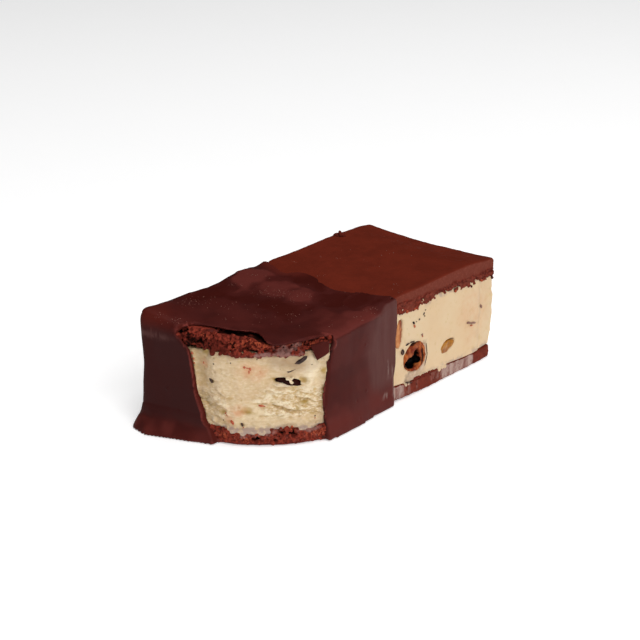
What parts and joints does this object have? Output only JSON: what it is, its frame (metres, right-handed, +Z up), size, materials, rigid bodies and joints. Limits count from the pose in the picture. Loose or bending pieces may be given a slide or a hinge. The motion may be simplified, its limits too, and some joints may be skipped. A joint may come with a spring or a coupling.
{
  "type": "ice cream sandwich",
  "caption": "Ice cream sandwich bar of chocolate wafers round pale ice cream with nut and peel, half dipped in dark chocolate, with a bite out of the dipped corner.",
  "frame": {"origin": "on the base, under the middle of the whole", "axes": "+X along the bar towards its plain end, -Y towards the long side that the bite opens, +Z up"},
  "size_m": [0.1262, 0.059, 0.0396],
  "materials": {
    "wafer": "soft, fine-crumbed chocolate wafer",
    "ice_cream": "cream-coloured frozen ice cream, satin where it melts",
    "chocolate": "satin dark chocolate",
    "candied_nut": "glazed brown nut",
    "almond": "cut almond",
    "peel": "translucent candied peel"
  },
  "bodies": {
    "root": {"bottom_wafer": "wafer", "ice_cream": "ice_cream", "top_wafer": "wafer", "candied_nut": "candied_nut", "almond_slice": "almond", "peel_piece": "peel", "chocolate_piece": "chocolate", "shell_flake": "chocolate", "chocolate_shell": "chocolate"}
  },
  "joints": []
}
